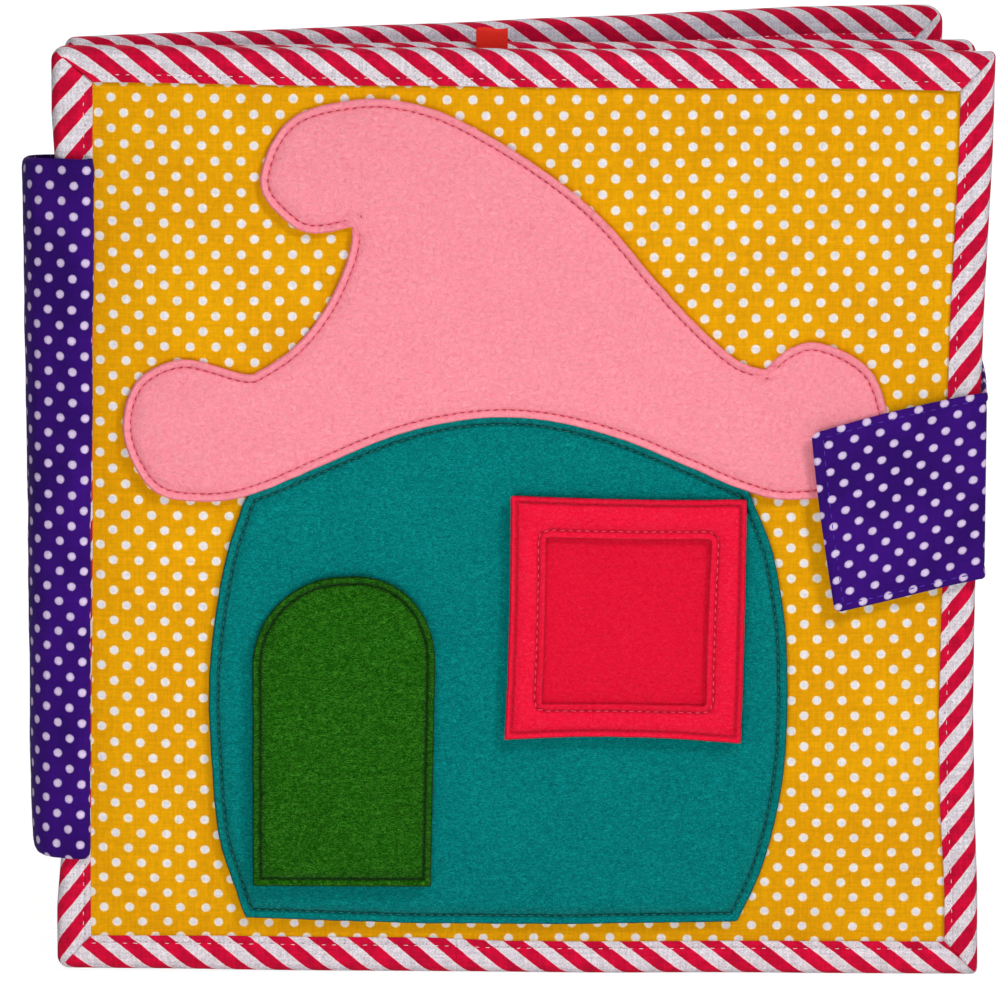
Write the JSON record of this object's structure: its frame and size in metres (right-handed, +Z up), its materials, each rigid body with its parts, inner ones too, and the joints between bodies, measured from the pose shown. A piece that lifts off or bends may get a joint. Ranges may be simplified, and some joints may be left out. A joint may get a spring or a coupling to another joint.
{
  "type": "quiet book",
  "caption": "Soft cloth book of padded, striped-bound leaves with a wrapped spine, felt cottage cover whose door and window lift, and a fore-edge strap.",
  "frame": {"origin": "middle of the part's box at its foot, on the surface that the book stands on", "axes": "+X from the spine to the fore edge, -Y out of the front cover, +Z up the cover"},
  "size_m": [0.2156, 0.0828, 0.2116],
  "materials": {
    "yellow_dot_cotton": "woven cotton, printed with small white dots",
    "blue_cotton": "plain woven cotton",
    "striped_binding": "woven cotton tape, red and off-white diagonal stripes",
    "wadding": "soft polyester wadding",
    "purple_dot_cotton": "woven cotton, printed with small pale dots",
    "pink_felt": "pressed felt",
    "teal_felt": "pressed felt",
    "green_felt": "pressed felt",
    "red_felt": "pressed felt",
    "hook_and_loop": "woven hook-and-loop tape",
    "red_ribbon": "woven ribbon"
  },
  "bodies": {
    "back_cover": {"back_cover_lining": "blue_cotton", "back_cover_panel": "yellow_dot_cotton", "back_cover_padding": "wadding", "back_cover_binding": "striped_binding", "spine_wrap_rear_flap": "purple_dot_cotton", "strap_sewn_end": "purple_dot_cotton"},
    "spine": {"spine_wrap": "purple_dot_cotton", "spine_padding": "wadding", "middle_leaf_front_panel": "blue_cotton", "middle_leaf_rear_panel": "blue_cotton", "middle_leaf_padding": "wadding", "middle_leaf_binding": "striped_binding", "ribbon_tab": "red_ribbon"},
    "front_cover": {"front_cover_panel": "yellow_dot_cotton", "front_cover_lining": "blue_cotton", "front_cover_padding": "wadding", "front_cover_binding": "striped_binding", "spine_wrap_front_flap": "purple_dot_cotton", "wall_felt": "teal_felt", "roof_felt": "pink_felt", "loop_patch": "hook_and_loop"},
    "door": {"door_back_felt": "green_felt", "door_front_felt": "green_felt"},
    "window": {"window_backing_felt": "red_felt", "window_frame_felt": "red_felt"},
    "strap_tab": {"strap_tab": "purple_dot_cotton", "hook_patch": "hook_and_loop"},
    "strap_side": {"strap_side": "purple_dot_cotton"}
  },
  "joints": [
    {"name": "rear_fold", "type": "hinge", "parent": "back_cover", "child": "spine", "pos_m": [-0.10016, -0.01457, 0.1045], "axis": [0, 0, -1], "range_deg": [-10, 135]},
    {"name": "front_fold", "type": "hinge", "parent": "spine", "child": "front_cover", "pos_m": [-0.10016, -0.03577, 0.1045], "axis": [0, 0, -1], "range_deg": [-2, 150]},
    {"name": "door_hinge", "type": "hinge", "parent": "front_cover", "child": "door", "pos_m": [-0.05706, -0.04132, 0.057], "axis": [0, 0, -1], "range_deg": [0, 150]},
    {"name": "window_hinge", "type": "hinge", "parent": "front_cover", "child": "window", "pos_m": [-0.00046, -0.04147, 0.082], "axis": [0, 0, -1], "range_deg": [0, 150]},
    {"name": "strap_tab_fold", "type": "hinge", "parent": "front_cover", "child": "strap_tab", "pos_m": [0.10611, -0.03617, 0.1129], "axis": [0, 0, 1], "range_deg": [0, 125]},
    {"name": "strap_side_fold", "type": "hinge", "parent": "front_cover", "child": "strap_side", "pos_m": [0.10611, -0.03617, 0.1129], "axis": [0, 0, -1], "range_deg": [0, 85]}
  ]
}
